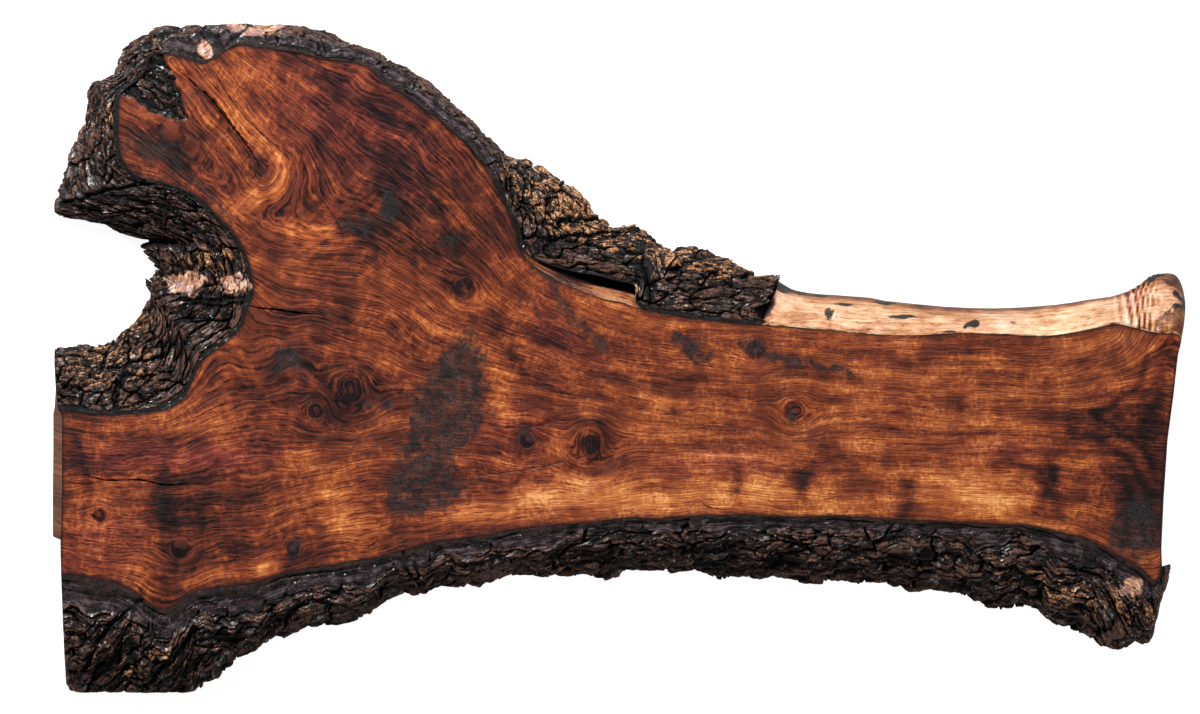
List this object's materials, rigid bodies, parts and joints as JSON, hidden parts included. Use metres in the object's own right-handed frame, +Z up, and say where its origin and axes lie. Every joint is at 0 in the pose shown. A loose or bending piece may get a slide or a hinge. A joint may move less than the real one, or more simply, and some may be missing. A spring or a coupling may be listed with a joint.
{
  "type": "walnut wood slab",
  "caption": "Thick forked live-edge walnut slab with bark on its edges, lying flat, as a table top blank or wall panel.",
  "frame": {"origin": "centre of the slab's footprint, on the flat sawn underside", "axes": "+X along the slab's length from the forked end to the narrow end, +Y towards the crown side, +Z up out of the finished face"},
  "size_m": [1.7988, 1.0648, 0.1],
  "materials": {
    "oiled_walnut": "planed and oiled, satin",
    "walnut_bark": "rough plated bark, sealed, slightly glossy"
  },
  "bodies": {
    "root": {"walnut_slab": "oiled_walnut", "fork_bark": "walnut_bark", "crown_bark": "walnut_bark", "belly_bark": "walnut_bark"}
  },
  "joints": []
}
